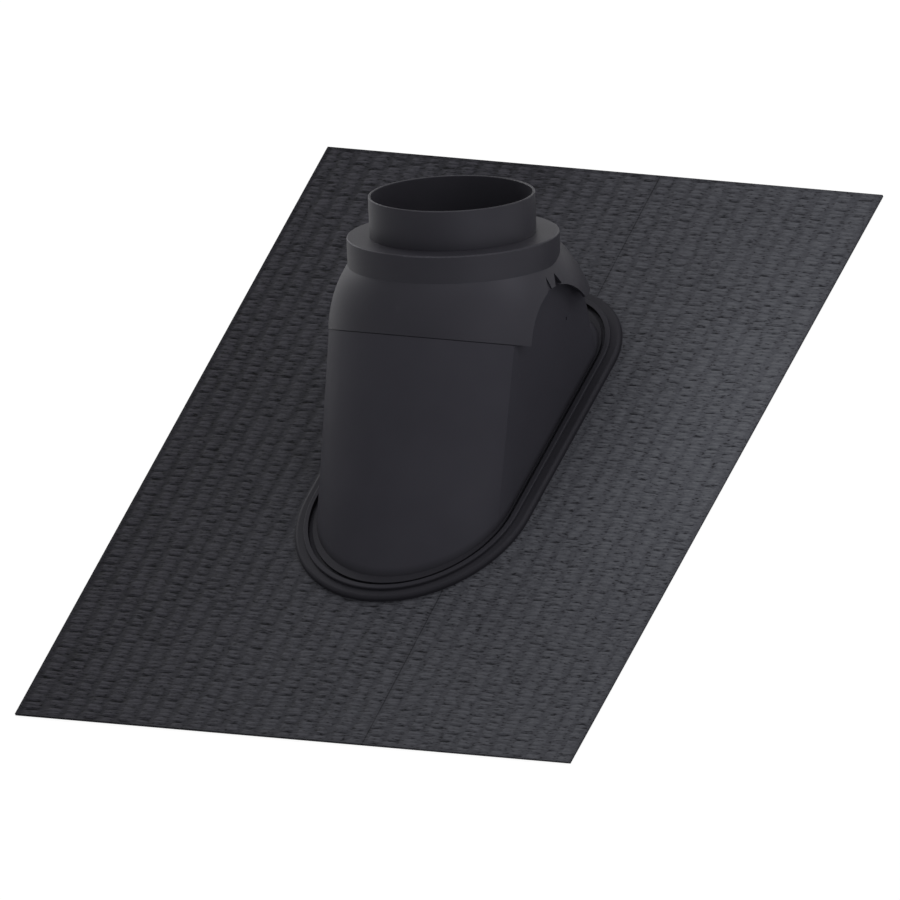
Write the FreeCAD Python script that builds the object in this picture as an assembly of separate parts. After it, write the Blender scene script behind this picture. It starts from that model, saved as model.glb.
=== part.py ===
import FreeCAD, Part
import math
import os

# Pipe flashing boot for a pitched roof, in mm. The apron lies on the XY plane with
# +Y up the slope and +Z away from the roof. The collar stands plumb, so the ball and
# the collar are drawn in a plumb frame (across, back, up) and leaned by the roof pitch.

vec = FreeCAD.Vector

# roof and apron sheet; the thickness is taken over the embossed ribs
roof_pitch = 33.5
apron_width = 500.0
apron_length = 625.0
apron_thickness = 2.0
rib_pitch = 8.5
rib_height = 0.8
rib_margin = 3.0

# pipe, collar and the shoulder ring under it
pipe_radius = 62.5
pipe_clearance = 1.0
collar_wall = 2.0
collar_back = 18.6
collar_length = 32.1
ledge_width = 18.0
shoulder_rise = 78.0
rim_round = 0.7
shoulder_round = 1.2

# ball cap: a front ball about the swivel and a wider heel ball behind and below it
wall = 2.5
ball_proud = 17.0
heel_step = 3.0
heel_reach = 14.4
heel_drop = 5.8

# running gaps between the cap and the dome of the base
front_clearance = 0.5
heel_clearance = 4.0

# lower edge of the cap, under the swivel: sloped visor in front, raised edge at the heel
visor_slope = 14.2
visor_drop = 7.5
visor_gap = 0.6
heel_edge_rise = 26.2
window_behind = 3.4
window_drop = 2.7
window_radius = 45.5

# snap tongue over each window: corners as (beyond the window's edge, degrees past its top)
slot_corners = [(9.1, 2.8), (1.1, 7.9), (-2.3, -6.9)]
recess_corners = [(9.3, -10.6), (-1.3, -23.2), (-4.3, -13.1)]
recess_depth = 1.2

# base: skirt, neck at the heel, throat of the dome and the outline of its foot
skirt_inset = 0.2
neck_drop = 4.0
heel_stand = 3.6
throat_room = 21.2
toe_reach = 131.0
toe_crease = 15.0
heel_corner = 55.5
heel_gap = 5.9

# flange round the foot: pad, ridge, groove and curb, heights over the apron
flange_width = 16.5
flange_height = 4.5
flange_round = 3.0
ridge_inner = 4.5
ridge_outer = 8.5
ridge_height = 7.0
ridge_round = 1.0
groove_height = 3.0
curb_width = 1.0
curb_height = 5.5

# centre mark on each cheek, up the slope from the swivel and under it
mark_behind = 28.5
mark_drop = 6.5
mark_radius = 1.5
mark_depth = 0.8

lean_cos = math.cos(math.radians(roof_pitch))
lean_sin = math.sin(math.radians(roof_pitch))
visor_cos = math.cos(math.radians(visor_slope))
visor_sin = math.sin(math.radians(visor_slope))
bore_radius = pipe_radius + pipe_clearance
collar_radius = bore_radius + collar_wall
shoulder_radius = collar_radius + ledge_width
cheek_half = shoulder_radius
front_ball_radius = shoulder_radius + ball_proud
heel_ball_radius = front_ball_radius + heel_step
front_dome_radius = front_ball_radius - wall - front_clearance
heel_dome_radius = heel_ball_radius - wall - heel_clearance

# the swivel stands as high as keeps the heel of the neck clear of the apron
heel_ball_back = collar_back + heel_reach
neck_over_heel = heel_drop - neck_drop
neck_end = heel_ball_back + math.sqrt(heel_dome_radius ** 2 - neck_over_heel ** 2)
neck_up = (apron_thickness + heel_stand + neck_end * lean_sin) / lean_cos
swivel_up = neck_up + neck_drop
heel_ball_up = swivel_up - heel_drop
shoulder_up = swivel_up + shoulder_rise
rim_up = shoulder_up + collar_length
throat_radius = pipe_radius + throat_room
dome_top = swivel_up + math.sqrt(front_dome_radius ** 2 - throat_radius ** 2)
window_back = collar_back + window_behind
window_up = swivel_up - window_drop
heel_edge_up = swivel_up + heel_edge_rise

# the same swivel in the slope frame, and the foot laid out from it
swivel_y = collar_back * lean_cos + swivel_up * lean_sin
swivel_z = swivel_up * lean_cos - collar_back * lean_sin
toe_y = swivel_y - toe_reach
heel_y = neck_end * lean_cos + neck_up * lean_sin + heel_gap - heel_corner
corner_x = cheek_half - heel_corner
crease_angle = math.radians(toe_crease)
far = 4 * front_ball_radius

lean = FreeCAD.Placement(vec(0, 0, 0), FreeCAD.Rotation(vec(1, 0, 0), -roof_pitch))


def leaned(shape):
    """A plumb shape turned into the slope frame."""
    turned = shape.copy()
    turned.Placement = lean.multiply(turned.Placement)
    return turned


def arc(start, middle, end):
    return Part.Arc(start, middle, end).toShape()


def line(start, end):
    return Part.makeLine(start, end)


def halfway(start, end):
    return (start + end) * 0.5


def mirrored(points):
    """The same points on the other side, in reverse order."""
    return [vec(-p.x, p.y, p.z) for p in reversed(points)]


def ring_wire(right_points, right_middles, front_middle, end_middle):
    """Closed outline of eight edges from its right half: front, crease, side, corner."""
    corners = right_points + mirrored(right_points)
    middles = right_middles + [end_middle] + mirrored(right_middles) + [front_middle]
    edges = []
    for index, start in enumerate(corners):
        end = corners[(index + 1) % len(corners)]
        middle = middles[index]
        straight = middle.distanceToPoint(halfway(start, end)) < 1e-6
        edges.append(line(start, end) if straight else arc(start, middle, end))
    return Part.Wire(edges)


def foot_outline(grow, height):
    """Foot of the base grown outward: round toe, straight cheeks, rounded heel corners."""
    half = cheek_half + grow
    corner = heel_corner + grow

    def toe(angle):
        return vec(half * math.cos(angle), toe_y - half * math.sin(angle), height)

    def heel(angle):
        return vec(corner_x + corner * math.cos(angle), heel_y + corner * math.sin(angle), height)

    points = [toe(crease_angle), toe(0), heel(0), heel(math.pi / 2)]
    middles = [toe(crease_angle / 2), halfway(toe(0), heel(0)), heel(math.pi / 4)]
    return ring_wire(points, middles, toe(math.pi / 2), vec(0, heel_y + corner, height))


def ledge_outline(radius, half):
    """Top of the front skirt, in the plane under the visor: a round front and straight sides."""
    drop = (visor_drop + visor_gap) * visor_cos
    front = math.sqrt(radius ** 2 - drop ** 2)

    def at(across, along):
        back = collar_back - drop * visor_sin + along * visor_cos
        up = swivel_up - drop * visor_cos - along * visor_sin
        return vec(across, back, up)

    corner_along = -math.sqrt(front ** 2 - half ** 2)
    points = [
        at(half, corner_along),
        at(half, corner_along + crease_angle * half),
        at(half, 0.6 * front),
        at(corner_x, 0.7 * front),
    ]
    middles = [halfway(start, end) for start, end in zip(points, points[1:])]
    return ring_wire(points, middles, at(0, -front), at(0, 0.7 * front))


def neck_outline(inset):
    """Section of the dome on the level neck plane, cut flat at both cheeks."""
    half = cheek_half - inset
    front = math.sqrt((front_dome_radius - inset) ** 2 - neck_drop ** 2)
    heel = math.sqrt((heel_dome_radius - inset) ** 2 - neck_over_heel ** 2)

    def heel_point(across):
        return vec(across, heel_ball_back + math.sqrt(heel ** 2 - across ** 2), neck_up)

    front_corner = vec(half, collar_back - math.sqrt(front ** 2 - half ** 2), neck_up)
    crease_end = front_corner + vec(0, crease_angle * half, 0)
    points = [front_corner, crease_end, heel_point(half), heel_point(corner_x)]
    middles = [halfway(front_corner, crease_end), halfway(crease_end, heel_point(half)),
               heel_point((half + corner_x) / 2)]
    return ring_wire(points, middles, vec(0, collar_back - front, neck_up), heel_point(0))


def ball(front_radius, heel_radius):
    """Two balls joined by their tangent cone, turned about the line between their centres."""
    front_centre = vec(0, collar_back, swivel_up)
    heel_centre = vec(0, heel_ball_back, heel_ball_up)
    along = (heel_centre - front_centre).normalize()
    reach = front_centre.distanceToPoint(heel_centre)
    out = vec(0, -along.z, along.y)
    tilt = math.asin((heel_radius - front_radius) / reach)

    def at(centre, radius, angle):
        return centre + out * (radius * math.cos(angle)) - along * (radius * math.sin(angle))

    front_start = at(front_centre, front_radius, math.pi / 2)
    front_end = at(front_centre, front_radius, tilt)
    heel_start = at(heel_centre, heel_radius, tilt)
    heel_end = at(heel_centre, heel_radius, -math.pi / 2)
    profile = [
        arc(front_start, at(front_centre, front_radius, (math.pi / 2 + tilt) / 2), front_end),
        line(front_end, heel_start),
        arc(heel_start, at(heel_centre, heel_radius, (tilt - math.pi / 2) / 2), heel_end),
        line(heel_end, front_start),
    ]
    return Part.Face(Part.Wire(profile)).revolve(front_centre, along, 360)


def block(half, front, back, low, high):
    """Box in the plumb frame, centred across."""
    return Part.makeBox(2 * half, back - front, high - low, vec(-half, front, low))


def disc(radius, low, high):
    return Part.makeCylinder(radius, high - low, vec(0, collar_back, low))


def prism(grow, low, high):
    """Straight-sided block on the foot outline between two heights."""
    return Part.Face(foot_outline(grow, low)).extrude(vec(0, 0, high - low))


def side_prism(corners, inner, outer):
    """Block on (back, up) corner points, reaching across between two distances."""
    points = [vec(inner, back, up) for back, up in corners]
    face = Part.Face(Part.makePolygon(points + points[:1]))
    return face.extrude(vec(outer - inner, 0, 0))


def by_window(corners):
    """(back, up) places of corners given from the edge and the top of the side window."""
    places = []
    for beyond, turn in corners:
        angle = math.radians(turn)
        radius = window_radius + beyond
        places.append((window_back + radius * math.sin(angle), window_up + radius * math.cos(angle)))
    return places


def edges_at(shape, height, radius=None):
    """Edges that lie wholly at one height, and on one round when a radius is given."""
    found = []
    for edge in shape.Edges:
        box = edge.BoundBox
        if abs(box.ZMin - height) > 1e-4 or abs(box.ZMax - height) > 1e-4:
            continue
        if radius is not None and abs(getattr(edge.Curve, "Radius", -1) - radius) > 1e-4:
            continue
        found.append(edge)
    return found


def body(inset, skirt_radius, top):
    """Solid form of the base: a ruled skirt in front and behind, and the cut ball over both."""
    half = cheek_half - inset
    foot = foot_outline(-inset, apron_thickness)
    front = Part.makeLoft([foot, leaned(ledge_outline(skirt_radius, half))], True, True)
    front = front.common(leaned(block(far, -far, collar_back, -far, far)))
    behind = Part.makeLoft([foot, leaned(neck_outline(inset))], True, True)
    behind = behind.common(leaned(block(far, collar_back, far, -far, far)))
    dome = ball(front_dome_radius - inset, heel_dome_radius - inset)
    dome = leaned(dome.common(block(half, -far, far, -far, top)))
    dome = dome.common(block(far, -far, far, apron_thickness, far))
    return front.fuse([behind, dome])


def make_apron():
    """Sheet with ribs across the slope, flat beside its edges and under the flange."""
    half_length = apron_length / 2
    valley = apron_thickness - rib_height
    count = int((apron_length - 2 * rib_margin) / rib_pitch)
    start = -count * rib_pitch / 2
    profile = [(half_length, valley), (half_length, 0), (-half_length, 0), (-half_length, valley)]
    for index in range(count):
        profile.append((start + index * rib_pitch, valley))
        profile.append((start + (index + 0.5) * rib_pitch, apron_thickness))
    profile.append((start + count * rib_pitch, valley))
    sheet = side_prism(profile, -apron_width / 2, apron_width / 2)
    sheet = sheet.fuse(prism(flange_width + rib_margin, 0, apron_thickness))
    return sheet.cut(prism(-wall, -1, apron_thickness + 1))


def make_flange():
    low = apron_thickness
    pad = prism(flange_width, low, low + flange_height)
    pad = pad.makeFillet(flange_round, edges_at(pad, low + flange_height))
    ridge = prism(ridge_outer, low, low + ridge_height)
    ridge = ridge.makeFillet(ridge_round, edges_at(ridge, low + ridge_height))
    groove = prism(ridge_inner, low + groove_height, low + ridge_height + 1)
    curb = prism(curb_width, low, low + curb_height)
    return pad.fuse(ridge).cut(groove).fuse(curb)


def make_base():
    outer = body(0, front_ball_radius - skirt_inset, dome_top)
    inner = body(wall, front_dome_radius - wall, dome_top + 1)
    base = outer.fuse(make_flange()).cut(inner)
    for side in (-1, 1):
        start = vec(side * (cheek_half - mark_depth), swivel_y + mark_behind, swivel_z - mark_drop)
        base = base.cut(Part.makeCylinder(mark_radius, ball_proud, start, vec(side, 0, 0)))
    return base.removeSplitter()


def skirt_cutter():
    """Everything under the lower edge of the cap: sloped visor, then a raised heel edge."""
    drop = visor_sin / visor_cos
    edge_up = swivel_up - visor_drop
    window_end = math.sqrt(window_radius ** 2 - (heel_edge_up - window_up) ** 2)
    corners = [
        (-far, edge_up + drop * (far + collar_back)),
        (window_back, edge_up - drop * window_behind),
        (window_back + window_end - 1, heel_edge_up),
        (far, heel_edge_up),
        (far, -far),
        (-far, -far),
    ]
    return side_prism(corners, -far, far)


def make_cap():
    outer = ball(front_ball_radius, heel_ball_radius).common(block(far, -far, far, -far, shoulder_up))
    ring = disc(shoulder_radius, swivel_up, shoulder_up)
    ring = ring.makeFillet(shoulder_round, edges_at(ring, shoulder_up, shoulder_radius))
    collar = disc(collar_radius, swivel_up, rim_up)
    ceiling = shoulder_up - wall
    inner = ball(front_ball_radius - wall, heel_ball_radius - wall)
    inner = inner.common(block(far, -far, far, -far, ceiling))
    hollow = inner.fuse(disc(shoulder_radius - wall, swivel_up, ceiling))
    hollow = hollow.fuse(disc(bore_radius, swivel_up, rim_up + 1))
    cap = outer.fuse(ring).fuse(collar).cut(hollow).cut(skirt_cutter())
    window = Part.makeCylinder(window_radius, 2 * far, vec(-far, window_back, window_up), vec(1, 0, 0))
    cap = cap.cut(window)
    floor = ball(front_ball_radius - recess_depth, heel_ball_radius - recess_depth)
    within = shoulder_radius - ledge_width / 2
    for side in (-1, 1):
        cap = cap.cut(side_prism(by_window(slot_corners), side * within, side * far))
        recess = side_prism(by_window(recess_corners), side * within, side * far)
        cap = cap.cut(recess.cut(floor))
    cap = cap.makeFillet(rim_round, edges_at(cap, rim_up))
    return leaned(cap.removeSplitter())


os.makedirs("parts", exist_ok=True)
for name, make in (("apron", make_apron), ("base", make_base), ("cap", make_cap)):
    shape = make()
    shape.exportStep("parts/" + name + ".step")
    print(name, shape.isValid(), len(shape.Solids), round(shape.Volume / 1000, 1), "cm3")
print("swivel", round(swivel_y, 3), round(swivel_z, 3))
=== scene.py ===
import bpy
import math
import numpy as np
from mathutils import Matrix, Vector


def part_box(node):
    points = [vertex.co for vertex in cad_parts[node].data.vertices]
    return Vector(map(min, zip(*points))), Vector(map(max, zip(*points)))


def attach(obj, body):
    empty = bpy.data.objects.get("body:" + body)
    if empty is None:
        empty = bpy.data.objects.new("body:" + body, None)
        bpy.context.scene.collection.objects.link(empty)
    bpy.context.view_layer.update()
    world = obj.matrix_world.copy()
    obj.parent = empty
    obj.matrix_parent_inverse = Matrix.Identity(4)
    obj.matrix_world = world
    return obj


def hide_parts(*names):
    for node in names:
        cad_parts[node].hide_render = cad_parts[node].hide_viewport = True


# pitched-roof flashing boot: woven-faced apron, moulded base and tilting ball cap, in metres

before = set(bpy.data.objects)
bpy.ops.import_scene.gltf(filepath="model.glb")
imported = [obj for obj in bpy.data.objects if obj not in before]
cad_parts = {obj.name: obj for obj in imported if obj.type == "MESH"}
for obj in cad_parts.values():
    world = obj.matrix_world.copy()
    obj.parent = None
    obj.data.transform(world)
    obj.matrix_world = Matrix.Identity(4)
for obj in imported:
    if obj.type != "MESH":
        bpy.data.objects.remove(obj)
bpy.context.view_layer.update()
mmPerMetre = 1000
print("frame loaded:", sorted(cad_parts))


def linearColour(hexColour):
    # sRGB hex to linear: each channel c is c / 12.92 when dark, else ((c + 0.055) / 1.055) ** 2.4
    channels = [int(hexColour[i:i + 2], 16) / 255 for i in (1, 3, 5)]
    return tuple(c / 12.92 if c <= 0.04045 else ((c + 0.055) / 1.055) ** 2.4 for c in channels) + (1.0,)


def addNode(tree, kind, settings={}, inputs={}):
    # one node; an input is a value for its socket, or a (node, output) pair to link from
    node = tree.nodes.new(kind)
    for name, value in settings.items():
        setattr(node, name, value)
    for name, value in inputs.items():
        if isinstance(value, tuple) and isinstance(value[0], bpy.types.Node):
            tree.links.new(value[0].outputs[value[1]], node.inputs[name])
        else:
            node.inputs[name].default_value = value
    return node


def newMaterial(name):
    material = bpy.data.materials.new(name)
    material.use_nodes = True
    tree = material.node_tree
    tree.nodes.clear()
    return material, tree


def paintNode(node, material):
    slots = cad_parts[node].data.materials
    slots.clear()
    slots.append(material)


# the moulded plastic of base and cap
plastic = {
    "baseTones": ("#39383f", "#3d3c43"),   # fresh, and where the mould texture is a little worn smooth
    "flangePaintedShade": 0.50,                   # painted shade: the flange is drawn this much darker, low down by the sheet
    "flangeTop": (0.0080, 0.0125),         # and the shade ends between these heights
    "capTones": ("#2d2c32", "#313036"),
    "grainMm": 0.9,           # spark-eroded mould grain, drawn coarser than the real 0.1 mm so that it shows
    "grainReach": (0.3, 0.7), # the part of the noise that is spread over the roughness
    "grainStrength": 0.5,
    "grainHeight": 0.00002,
    "flowMm": 60.0,           # faint flow shading across a whole wall
    "flowReach": (0.35, 0.65),
    "capShift": 0.37,         # the cap's noise is taken this far off, so that the two differ
    "ior": 1.53,
    "baseRoughness": (0.52, 0.60),   # the base has the coarser mould grain
    "baseSpecular": 0.20,
    "capRoughness": (0.44, 0.52),    # the cap is smoother, so that it turns
    "capSpecular": 0.40,
    "glossTint": "#f1f0ff",          # the gloss of both is a trace bluer than white
}


def makeMouldedPlastic(name, shift, tones, roughness, specular):
    # UV-stable ABS, moulded with a spark grain: a satin near-black with a soft gloss at its edges
    material, tree = newMaterial(name)
    place = addNode(tree, "ShaderNodeTexCoord")
    moved = addNode(tree, "ShaderNodeMapping", {}, {
        "Vector": (place, "Object"), "Location": (shift, shift, 0)})
    flow = addNode(tree, "ShaderNodeTexNoise", {}, {
        "Vector": (moved, 0), "Scale": mmPerMetre / plastic["flowMm"], "Detail": 2})
    grain = addNode(tree, "ShaderNodeTexNoise", {}, {
        "Vector": (moved, 0), "Scale": mmPerMetre / plastic["grainMm"], "Detail": 3})
    tone = addNode(tree, "ShaderNodeMapRange", {}, {
        "Value": (flow, 0), "From Min": plastic["flowReach"][0], "From Max": plastic["flowReach"][1]})
    colour = addNode(tree, "ShaderNodeMix", {"data_type": "RGBA"}, {
        0: (tone, 0), 6: linearColour(tones[0]), 7: linearColour(tones[1])})
    axes = addNode(tree, "ShaderNodeSeparateXYZ", {}, {"Vector": (place, "Object")})
    # painted shade: the base's colour is darkened on the flange, below these heights
    shade = addNode(tree, "ShaderNodeMapRange", {}, {
        "Value": (axes, "Z"), "From Min": plastic["flangeTop"][0], "From Max": plastic["flangeTop"][1],
        "To Min": plastic["flangePaintedShade"], "To Max": 1.0})
    shaded = addNode(tree, "ShaderNodeMix", {"data_type": "RGBA", "blend_type": "MULTIPLY"}, {
        0: 1.0, 6: (colour, 2), 7: (shade, 0)})
    gloss = addNode(tree, "ShaderNodeMapRange", {}, {
        "Value": (grain, 0), "From Min": plastic["grainReach"][0], "From Max": plastic["grainReach"][1],
        "To Min": roughness[0], "To Max": roughness[1]})
    bump = addNode(tree, "ShaderNodeBump", {}, {
        "Height": (grain, 0), "Strength": plastic["grainStrength"], "Distance": plastic["grainHeight"]})
    shader = addNode(tree, "ShaderNodeBsdfPrincipled", {}, {
        "Base Color": (shaded, 2), "Roughness": (gloss, 0), "Normal": (bump, 0), "IOR": plastic["ior"],
        "Specular IOR Level": specular, "Specular Tint": linearColour(plastic["glossTint"])})
    addNode(tree, "ShaderNodeOutputMaterial", {}, {"Surface": (shader, 0)})
    return material


paintNode("base", makeMouldedPlastic(
    "grainedAbsBase", 0.0, plastic["baseTones"], plastic["baseRoughness"], plastic["baseSpecular"]))
paintNode("cap", makeMouldedPlastic(
    "satinAbsCap", plastic["capShift"], plastic["capTones"], plastic["capRoughness"],
    plastic["capSpecular"]))
print("moulded plastic on base and cap")


# the apron sheet with its woven face
apron = {
    "columnPitch": 0.016,     # from one column of bars to the next, across the roof
    "rowPitch": 0.0085,       # from bar to bar up one column
    "depth": 0.0011,          # from the crown of a bar to the valley round it
    "barLength": 0.70,        # share of the column pitch, ends included
    "barHeight": 0.80,        # share of the row pitch
    "barEnds": 4,             # how square a bar is at its ends, and across it
    "barSides": 2.5,
    "barLean": 0.12,          # fall of each bar to the right, in shares of half a row for half a column
    "barSpread": 0.18,        # how far one bar's length and place differ from the next
    "unevenness": 0.26,       # and its height
    "valleyRise": 0.22,       # how far the valleys rise and fall from cell to cell
    "crease": 0.85,           # depth of the line between the two threads of a bar, in shares of the depth
    "creaseHalf": 0.1,        # its half width, which holds one mesh line, in shares of half a row
    "pitShare": 0.50,         # share of bars with a deep short pit under them
    "pitDepth": 0.8,          # of a pit under the valley, in shares of the depth
    "pitHalf": (0.35, 0.4),   # its least half length and what is added by chance, in shares of half a column
    "pitShift": 0.7,          # how far its middle moves along the bar
    "pitHeight": 0.4,         # its half height, in shares of half a row
    "bow": 0.0011,            # the rows wander up and down by this much
    "bowLength": 0.12,        # once in this width
    "bowDrift": (0.3, 17),    # and drift by this share of it, as the sine of y times this number
    "slant": -0.0207,         # the columns lean by this much for each metre up the roof
    "slantFade": 0.030,       # and straighten over this width at the sheet's edge
    "meshAcross": (-1.0, -0.72, -0.5, 0.0, 0.5, 0.72),   # mesh lines in a column, from edge to edge
    "meshAlong": 6,           # mesh lines in a row pitch
    "edgeFade": 0.0015,       # the weave flattens over this width at the sheet's edge
    "padFade": 0.0030,        # and beside the flange of the base
    "seamAt": 0.0557,         # the line where two webs of the sheet meet, measured at mid-length
    "leastGap": 0.0004,       # no mesh line comes nearer to the sheet's edge
    "rimGap": 0.3,            # nor to the hole, in shares of the gap between two lines
}

# outline of the base's foot, which the hole in the sheet follows
foot = {
    "halfWidth": 0.0835,
    "toeCentre": -0.062,
    "heelCentre": (0.028, 0.110),
    "heelRadius": 0.0555,
    "flange": 0.0165,         # from the foot out to the flange's edge
    "hole": -0.0025,          # from the foot in to the hole's edge
    "middleY": 0.01,          # a point inside it, from which the loops of the mesh are put in order
}

# painted light and shade on the sheet, from 0 to 1
paintedLightPlan = {
    "middle": 0.40,
    "rise": 1.15,             # painted light, rising for each metre to the right
    # a painted pool of light on the right and a painted shadow near the sheet's top: x, y, reach in x, reach
    # in y, lift
    "patches": [(0.22, 0.04, 0.10, 0.17, 0.35), (-0.07, 0.31, 0.07, 0.07, -0.2)],
}


def footDistance(x, y):
    # distance outside the foot outline, and the way out from it: from the middle of the toe's circle,
    # from the long axis beside the straight sides, and from the middles of the two heel circles
    toeX, toeY = x, y - foot["toeCentre"]
    heelX = np.sign(x) * np.maximum(np.abs(x) - foot["heelCentre"][0], 0)
    heelY = y - foot["heelCentre"][1]
    toe, heel = toeY < 0, heelY > 0
    alongX = np.where(toe, toeX, np.where(heel, heelX, x))
    alongY = np.where(toe, toeY, np.where(heel, heelY, 0))
    reach = np.maximum(np.hypot(alongX, alongY), 1e-9)   # never 0
    radius = np.where(heel, foot["heelRadius"], foot["halfWidth"])
    return reach - radius, alongX / reach, alongY / reach


def scatter(i, j, seed):
    # a fixed uneven value from 0 to 1 for each cell: the fraction of a large sine of column, row and seed
    turns, size = (12.9898, 78.233, 37.719), 4375.8543
    return np.modf(np.abs(np.sin(i * turns[0] + j * turns[1] + seed * turns[2])) * size)[0]


def weaveHeight(webX, webY):
    # columns of soft bars, each column half a row off the next: the root of 1 - |u / a|^4 - |v / b|^2.5,
    # with u and v from -1 to 1 over a bar's cell, less a line along the bar's middle
    # many bars have a short pit at their cell's lower edge: 1 - (u / c)^2 - ((v + 1) / d)^2
    onLine = 0.5 + 1e-6       # rounds to the nearest cell, and a line halfway between two always up
    column = np.floor(webX / apron["columnPitch"] + onLine)
    u = (webX / apron["columnPitch"] - column) * 2
    rows = webY / apron["rowPitch"] + 0.5 * np.mod(column, 2)
    row = np.floor(rows + onLine)
    v = (rows - row) * 2
    spread = apron["barSpread"]
    along = u - spread * (scatter(column, row, 1) - 0.5)
    half = apron["barLength"] * (1 + spread * (scatter(column, row, 2) - 0.5))
    across = v + (apron["barLean"] + spread * (2 * scatter(column, row, 3) - 1)) * u
    bar = 1 - np.abs(along / half) ** apron["barEnds"]
    bar = bar - np.abs(across / apron["barHeight"]) ** apron["barSides"]
    bar = np.sqrt(np.clip(bar, 0, 1)) * (1 - apron["unevenness"] * scatter(column, row, 4))
    crease = apron["crease"] * (1 - apron["unevenness"] * scatter(column, row, 9))
    crease = crease * bar * (np.abs(v) < apron["creaseHalf"])
    valley = apron["valleyRise"] * scatter(column, row, 8) * (1 - bar)
    pitHalf = apron["pitHalf"][0] + apron["pitHalf"][1] * scatter(column, row, 5)
    pitAt = apron["pitShift"] * (scatter(column, row, 6) - 0.5)
    pit = 1 - ((u - pitAt) / pitHalf) ** 2 - ((v + 1) / apron["pitHeight"]) ** 2
    pit = np.clip(pit, 0, 1) * (scatter(column, row, 7) < apron["pitShare"])
    return bar + valley - crease - apron["pitDepth"] * pit


def dusting(x, y):
    # painted light: an even rise across the roof, with the painted pool of light and the painted shadow
    # added, each a bell curve in x and y
    light = paintedLightPlan["middle"] + paintedLightPlan["rise"] * x
    for patchX, patchY, reachX, reachY, lift in paintedLightPlan["patches"]:
        light = light + lift * np.exp(-((x - patchX) / reachX) ** 2 - ((y - patchY) / reachY) ** 2)
    return np.clip(light, 0, 1)


def meshLines(low, high, pitch, places):
    # lines at the given places in each pitch, counted from the sheet's middle, with the sheet's two edges
    first = math.floor(low / pitch) - 1
    cells = np.arange(first, math.ceil(high / pitch) + 2)
    lines = (cells[:, None] + np.asarray(places)[None, :]).ravel() * pitch
    inside = lines[(lines > low + apron["leastGap"]) & (lines < high - apron["leastGap"])]
    return np.concatenate([[low], inside, [high]])


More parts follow.
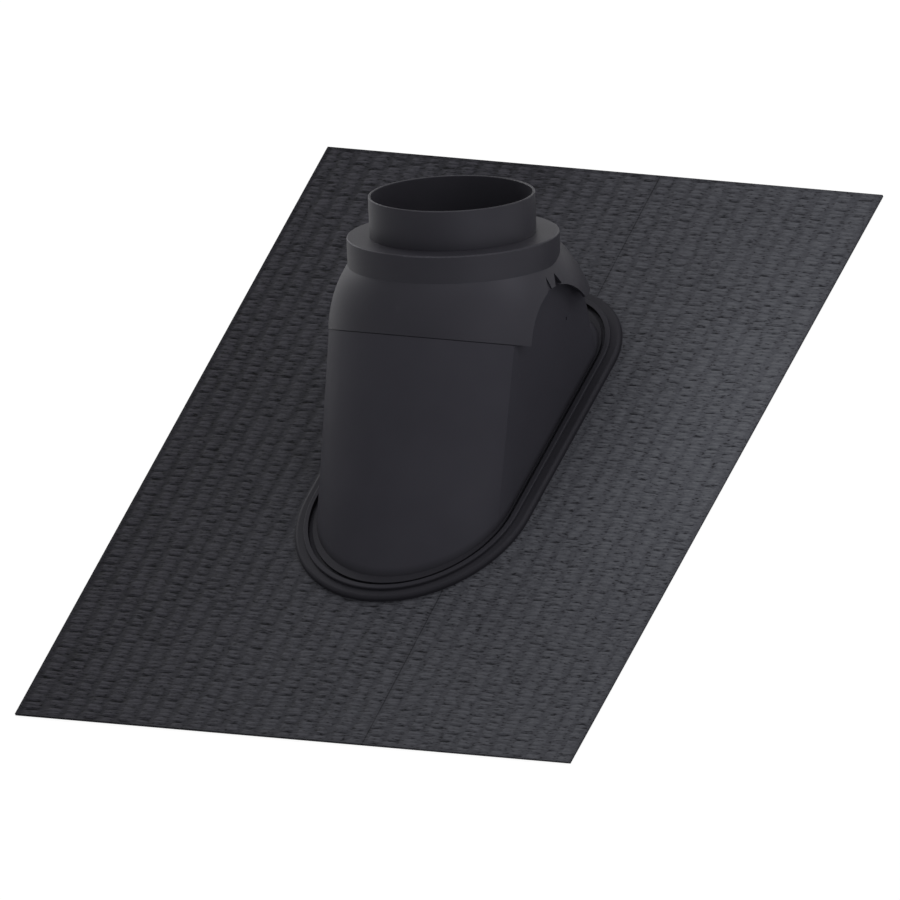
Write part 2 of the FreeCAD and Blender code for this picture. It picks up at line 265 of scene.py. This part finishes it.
def makeApronMesh():
    # the woven face is a grid of mesh lines: x and y are the lines with their slant and bow, and z is the
    # sheet's top less the depth of the weave there; walls and an underside close it to one solid
    low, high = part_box("apron")
    across = np.asarray(apron["meshAcross"]) / 2
    along = np.arange(apron["meshAlong"]) / apron["meshAlong"]
    webX, webY = np.meshgrid(meshLines(low.x, high.x, apron["columnPitch"], across),
                             meshLines(low.y, high.y, apron["rowPitch"], along))
    inX = np.clip(np.minimum(webX - low.x, high.x - webX) / apron["slantFade"], 0, 1)
    inY = np.clip(np.minimum(webY - low.y, high.y - webY) / apron["slantFade"], 0, 1)
    drift = apron["bowDrift"][0] * np.sin(webY * apron["bowDrift"][1])
    wander = np.sin(2 * math.pi * (webX / apron["bowLength"] + drift))
    x = webX + apron["slant"] * webY * inX
    y = webY + apron["bow"] * wander * inY
    lastRow, lastColumn = x.shape[0] - 1, x.shape[1] - 1
    distance, outX, outY = footDistance(x, y)
    holeDistance = distance - foot["hole"]
    leastGap = apron["rimGap"] * apron["columnPitch"] / len(apron["meshAcross"])

    # quads with at least one corner clear of the hole stay
    index = np.arange(x.size).reshape(x.shape)
    quads = np.stack([index[:-1, :-1], index[:-1, 1:], index[1:, 1:], index[1:, :-1]], -1).reshape(-1, 4)
    clear = (holeDistance > leastGap).ravel()
    quads = quads[clear[quads].any(1)]

    # the hole's border is the sides used by one quad, away from the sheet's edge: it moves onto the outline
    sides = np.concatenate([quads[:, [k, (k + 1) % 4]] for k in range(4)])
    ordered = np.sort(sides, 1)
    kept, counts = np.unique(ordered, axis=0, return_counts=True)
    border = np.unique(kept[counts == 1])
    row, column = border // x.shape[1], border % x.shape[1]
    onEdge = (row == 0) | (row == lastRow) | (column == 0) | (column == lastColumn)
    rim = border[~onEdge]
    edge = border[onEdge]
    x.ravel()[rim] -= (holeDistance * outX).ravel()[rim]
    y.ravel()[rim] -= (holeDistance * outY).ravel()[rim]

    # the woven face, flat beside the flange and at the sheet's edge
    fromEdge = np.minimum(np.minimum(x - low.x, high.x - x), np.minimum(y - low.y, high.y - y))
    fade = np.clip(fromEdge / apron["edgeFade"], 0, 1)
    fade = fade * np.clip((distance - foot["flange"]) / apron["padFade"], 0, 1)
    woven = weaveHeight(webX, webY)
    z = high.z - apron["depth"] * (1 - woven) * fade

    # both loops sorted round the foot's middle, then repeated on the underside
    def byAngle(loop):
        angle = np.arctan2(y.ravel()[loop] - foot["middleY"], x.ravel()[loop])
        order = np.argsort(angle)
        return loop[order], angle[order]

    rim, rimAngle = byAngle(rim)
    edge, edgeAngle = byAngle(edge)
    top = np.stack([x.ravel(), y.ravel(), z.ravel()], 1)
    points = np.concatenate([top, top[rim], top[edge]])
    points[len(top):, 2] = low.z
    rimUnder = len(top) + np.arange(len(rim))
    edgeUnder = len(top) + len(rim) + np.arange(len(edge))

    # walls: one strip round the sheet, one round the hole
    nextEdge, nextRim = np.roll(edge, -1), np.roll(rim, -1)
    walls = np.concatenate([
        np.stack([edgeUnder, np.roll(edgeUnder, -1), nextEdge, edge], 1),
        np.stack([rim, nextRim, np.roll(rimUnder, -1), rimUnder], 1)])

    # underside: every vertex of either loop closes one triangle to the other loop, in order of angle
    lastRim = (np.searchsorted(rimAngle, edgeAngle, side="right") - 1) % len(rim)
    lastEdge = (np.searchsorted(edgeAngle, rimAngle, side="left") - 1) % len(edge)
    under = np.concatenate([
        np.stack([np.roll(edgeUnder, 1), rimUnder[lastRim], edgeUnder], 1),
        np.stack([np.roll(rimUnder, 1), rimUnder, edgeUnder[lastEdge]], 1)])

    faces = [list(f) for f in quads] + [list(f) for f in walls] + [list(f) for f in under]
    used = np.unique(np.concatenate([quads.ravel(), walls.ravel(), under.ravel()]))
    renumber = np.full(len(points), -1)
    renumber[used] = np.arange(len(used))
    mesh = bpy.data.meshes.new("wovenApron")
    mesh.from_pydata(points[used], [], [renumber[f].tolist() for f in faces])
    smooth = np.zeros(len(faces), bool)
    smooth[:len(quads)] = True
    mesh.polygons.foreach_set("use_smooth", smooth)
    # painted shade: where the weave is faded out, at the sheet's edge and beside the flange, it takes the
    # valley's dark colour, a painted contact shadow round the base
    for name, values in (("weave", woven * fade), ("dusting", dusting(x, y))):
        values = np.concatenate([values.ravel(), np.zeros(len(rim) + len(edge))])[used]
        mesh.attributes.new(name, "FLOAT", "POINT").data.foreach_set("value", values.astype(np.float32))
    mesh.validate()
    mesh.update()
    return mesh


# the sheet's rubber
rubber = {
    "pit": ("#0b0b0d", "#2e2e33"),      # painted shadow in a pit; this pair and the two below are for the least and the most painted light
    # painted shade in the valleys; the crowns are drawn lighter
    "valley": ("#19181e", "#595a61"),
    "crown": ("#3f3d45", "#717379"),
    "fleckMm": (5.0, 1.4),              # flecks of talc, drawn this long and high so that they show
    "fleck": 0.38,                      # how much they lighten or darken, in shares from valley to crown
    "nickBelow": (0.33, 0.40),          # dark nicks where the flecks' noise falls through this range
    "nick": 0.50,
    "fleckReach": (0.3, 0.7),           # the part of their noise that is spread over tone and roughness
    "pitLevel": -0.6,                   # of the weave, where a pit's painted shadow is at its darkest
    "grainStrength": 0.6,
    "grainHeight": 0.0007,
    "roughness": (0.55, 0.75),
    "ior": 1.45,
    "specular": 0.15,
    "seamWidth": 0.0010,
    "seamTone": -0.5,
}


def makeRubber():
    # calendered EPDM over a woven carrier: matt charcoal with flecks of talc, painted darker as shade in the
    # weave's valleys, crease and pits, and lighter on the crowns
    material, tree = newMaterial("talcedEpdmPaintedLightShade")
    place = addNode(tree, "ShaderNodeTexCoord")
    woven = addNode(tree, "ShaderNodeAttribute", {"attribute_name": "weave"})
    paintedLightLevel = addNode(tree, "ShaderNodeAttribute", {"attribute_name": "dusting"})
    fleckScale = (mmPerMetre / rubber["fleckMm"][0], mmPerMetre / rubber["fleckMm"][1], mmPerMetre)
    stretch = addNode(tree, "ShaderNodeMapping", {}, {"Vector": (place, "Object"), "Scale": fleckScale})
    fleck = addNode(tree, "ShaderNodeTexNoise", {}, {"Vector": (stretch, 0), "Scale": 1.0, "Detail": 2})
    fleckTone = addNode(tree, "ShaderNodeMapRange", {}, {
        "Value": (fleck, 0), "From Min": rubber["fleckReach"][0], "From Max": rubber["fleckReach"][1],
        "To Min": -rubber["fleck"], "To Max": rubber["fleck"]})
    nick = addNode(tree, "ShaderNodeMapRange", {}, {
        "Value": (fleck, 0), "From Min": rubber["nickBelow"][0], "From Max": rubber["nickBelow"][1],
        "To Min": -rubber["nick"], "To Max": 0.0})
    speckled = addNode(tree, "ShaderNodeMath", {"operation": "ADD"}, {0: (fleckTone, 0), 1: (nick, 0)})

    # the seam: a thin dark line where x less the columns' slant meets its place
    axes = addNode(tree, "ShaderNodeSeparateXYZ", {}, {"Vector": (place, "Object")})
    lean = addNode(tree, "ShaderNodeMath", {"operation": "MULTIPLY"}, {0: (axes, "Y"), 1: -apron["slant"]})
    webX = addNode(tree, "ShaderNodeMath", {"operation": "ADD"}, {0: (axes, "X"), 1: (lean, 0)})
    onSeam = addNode(tree, "ShaderNodeMath", {"operation": "COMPARE"}, {
        0: (webX, 0), 1: apron["seamAt"], 2: rubber["seamWidth"] / 2})
    seamTone = addNode(tree, "ShaderNodeMath", {"operation": "MULTIPLY_ADD"}, {
        0: (onSeam, 0), 1: rubber["seamTone"], 2: (speckled, 0)})

    # painted shade: the weave's level runs from near-black pits through the dark valleys to the lighter
    # crowns
    level = addNode(tree, "ShaderNodeMath", {"operation": "ADD"}, {0: (woven, "Fac"), 1: (seamTone, 0)})
    rise = addNode(tree, "ShaderNodeMapRange", {}, {"Value": (level, 0), "From Min": 0.0, "From Max": 1.0})
    sink = addNode(tree, "ShaderNodeMapRange", {}, {
        "Value": (level, 0), "From Min": rubber["pitLevel"], "From Max": 0.0})
    pit = addNode(tree, "ShaderNodeMix", {"data_type": "RGBA"}, {
        0: (paintedLightLevel, "Fac"), 6: linearColour(rubber["pit"][0]), 7: linearColour(rubber["pit"][1])})
    valley = addNode(tree, "ShaderNodeMix", {"data_type": "RGBA"}, {
        0: (paintedLightLevel, "Fac"), 6: linearColour(rubber["valley"][0]), 7: linearColour(rubber["valley"][1])})
    crown = addNode(tree, "ShaderNodeMix", {"data_type": "RGBA"}, {
        0: (paintedLightLevel, "Fac"), 6: linearColour(rubber["crown"][0]), 7: linearColour(rubber["crown"][1])})
    face = addNode(tree, "ShaderNodeMix", {"data_type": "RGBA"}, {
        0: (rise, 0), 6: (valley, 2), 7: (crown, 2)})
    colour = addNode(tree, "ShaderNodeMix", {"data_type": "RGBA"}, {0: (sink, 0), 6: (pit, 2), 7: (face, 2)})
    gloss = addNode(tree, "ShaderNodeMapRange", {}, {
        "Value": (fleck, 0), "From Min": rubber["fleckReach"][0], "From Max": rubber["fleckReach"][1],
        "To Min": rubber["roughness"][0], "To Max": rubber["roughness"][1]})
    bump = addNode(tree, "ShaderNodeBump", {}, {
        "Height": (fleck, 0), "Strength": rubber["grainStrength"], "Distance": rubber["grainHeight"]})
    shader = addNode(tree, "ShaderNodeBsdfPrincipled", {}, {
        "Base Color": (colour, 2), "Roughness": (gloss, 0), "Normal": (bump, 0), "IOR": rubber["ior"],
        "Specular IOR Level": rubber["specular"]})
    addNode(tree, "ShaderNodeOutputMaterial", {}, {"Surface": (shader, 0)})
    return material


apronPiece = bpy.data.objects.new("wovenApron", makeApronMesh())
bpy.context.scene.collection.objects.link(apronPiece)
apronPiece.data.materials.append(makeRubber())
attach(apronPiece, "base")
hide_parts("apron")
print("woven apron:", len(apronPiece.data.polygons), "faces")


# floor, lamps and world
studio = {
    "floorHalf": 3.0,
    "floorDrop": 0.0005,      # under the sheet, so that the two don't share a plane
    "paper": "#f4f4f4",
    "paperGlow": 1.15,        # the paper's own white, and its share of what the camera sees of it
    "paperShare": 0.8,
    "worldStrength": 0.36,
    "lampsAim": (0, 0, 0.08),
    "lamps": [
        # name, azimuth and elevation in degrees, distance and size in metres, watts
        ("top", 170, 60, 2.0, 1.6, 9),
        ("side", 68, 14, 2.2, 2.0, 5.5),
        ("right rim", 125, 28, 2.0, 0.7, 4),
        ("left rim", -125, 10, 1.6, 0.5, 3.6),
    ],
}


def makeBackdropMaterial():
    # plain white paper: it glows a little to the camera, so it is white there, and its shadows stay
    material, tree = newMaterial("whitePaper")
    paper = addNode(tree, "ShaderNodeBsdfDiffuse", {}, {"Color": linearColour(studio["paper"])})
    glow = addNode(tree, "ShaderNodeEmission", {}, {"Color": (1, 1, 1, 1), "Strength": studio["paperGlow"]})
    path = addNode(tree, "ShaderNodeLightPath")
    seen = addNode(tree, "ShaderNodeMath", {"operation": "MULTIPLY"}, {
        0: (path, "Is Camera Ray"), 1: studio["paperShare"]})
    mixed = addNode(tree, "ShaderNodeMixShader", {}, {0: (seen, 0), 1: (paper, 0), 2: (glow, 0)})
    addNode(tree, "ShaderNodeOutputMaterial", {}, {"Surface": (mixed, 0)})
    return material


def makeFloor():
    half, z = studio["floorHalf"], -studio["floorDrop"]
    mesh = bpy.data.meshes.new("floor")
    corners = [(-half, -half, z), (half, -half, z), (half, half, z), (-half, half, z)]
    mesh.from_pydata(corners, [], [(0, 1, 2, 3)])
    mesh.materials.append(makeBackdropMaterial())
    floor = bpy.data.objects.new("floor", mesh)
    bpy.context.scene.collection.objects.link(floor)


def direction(azimuth, elevation):
    # the unit vector towards a point at this azimuth, from the front towards the right, and elevation
    a, e = math.radians(azimuth), math.radians(elevation)
    return Vector((math.sin(a) * math.cos(e), -math.cos(a) * math.cos(e), math.sin(e)))


def makeLamps():
    aim = Vector(studio["lampsAim"])
    for name, azimuth, elevation, distance, size, watts in studio["lamps"]:
        lamp = bpy.data.lights.new(name, "AREA")
        lamp.size = size
        lamp.energy = watts
        stand = bpy.data.objects.new(name, lamp)
        towards = direction(azimuth, elevation)
        stand.location = aim + towards * distance
        stand.rotation_mode = "QUATERNION"
        stand.rotation_quaternion = (-towards).to_track_quat("-Z", "Y")
        bpy.context.scene.collection.objects.link(stand)


def makeWorld():
    # even pale air, and plain white where the camera sees it
    world = bpy.data.worlds.new("studio")
    bpy.context.scene.world = world
    world.use_nodes = True
    tree = world.node_tree
    tree.nodes.clear()
    path = addNode(tree, "ShaderNodeLightPath")
    strength = addNode(tree, "ShaderNodeMapRange", {}, {
        "Value": (path, "Is Camera Ray"), "To Min": studio["worldStrength"], "To Max": 1.0})
    air = addNode(tree, "ShaderNodeBackground", {}, {"Color": (1, 1, 1, 1), "Strength": (strength, 0)})
    addNode(tree, "ShaderNodeOutputWorld", {}, {"Surface": (air, 0)})


# the photograph's view: parallel, from the lower right, rolled so that the collar stands upright
camera = {
    "azimuth": 39.93,
    "elevation": 40.26,
    "roll": -23.44,
    "width": 0.7043,          # metres across the frame
    "centre": (0.0004, 0.0047),   # the frame's centre from the apron's centre, to the right and up
    "distance": 2.5,
}


def makeCamera():
    lens = bpy.data.cameras.new("camera")
    lens.type = "ORTHO"
    lens.ortho_scale = camera["width"]
    eye = bpy.data.objects.new("camera", lens)
    back = direction(camera["azimuth"], camera["elevation"])
    level = Vector((0, 0, 1)).cross(back).normalized()
    turn = Matrix.Rotation(math.radians(camera["roll"]), 3, back)
    right = turn @ level
    up = back.cross(right)
    eye.location = back * camera["distance"] + right * camera["centre"][0] + up * camera["centre"][1]
    eye.rotation_mode = "QUATERNION"
    eye.rotation_quaternion = Matrix((right, up, back)).transposed().to_quaternion()
    bpy.context.scene.collection.objects.link(eye)
    bpy.context.scene.camera = eye


makeFloor()
makeLamps()
makeWorld()
makeCamera()
bpy.context.scene.view_settings.view_transform = "Standard"
print("studio and camera")
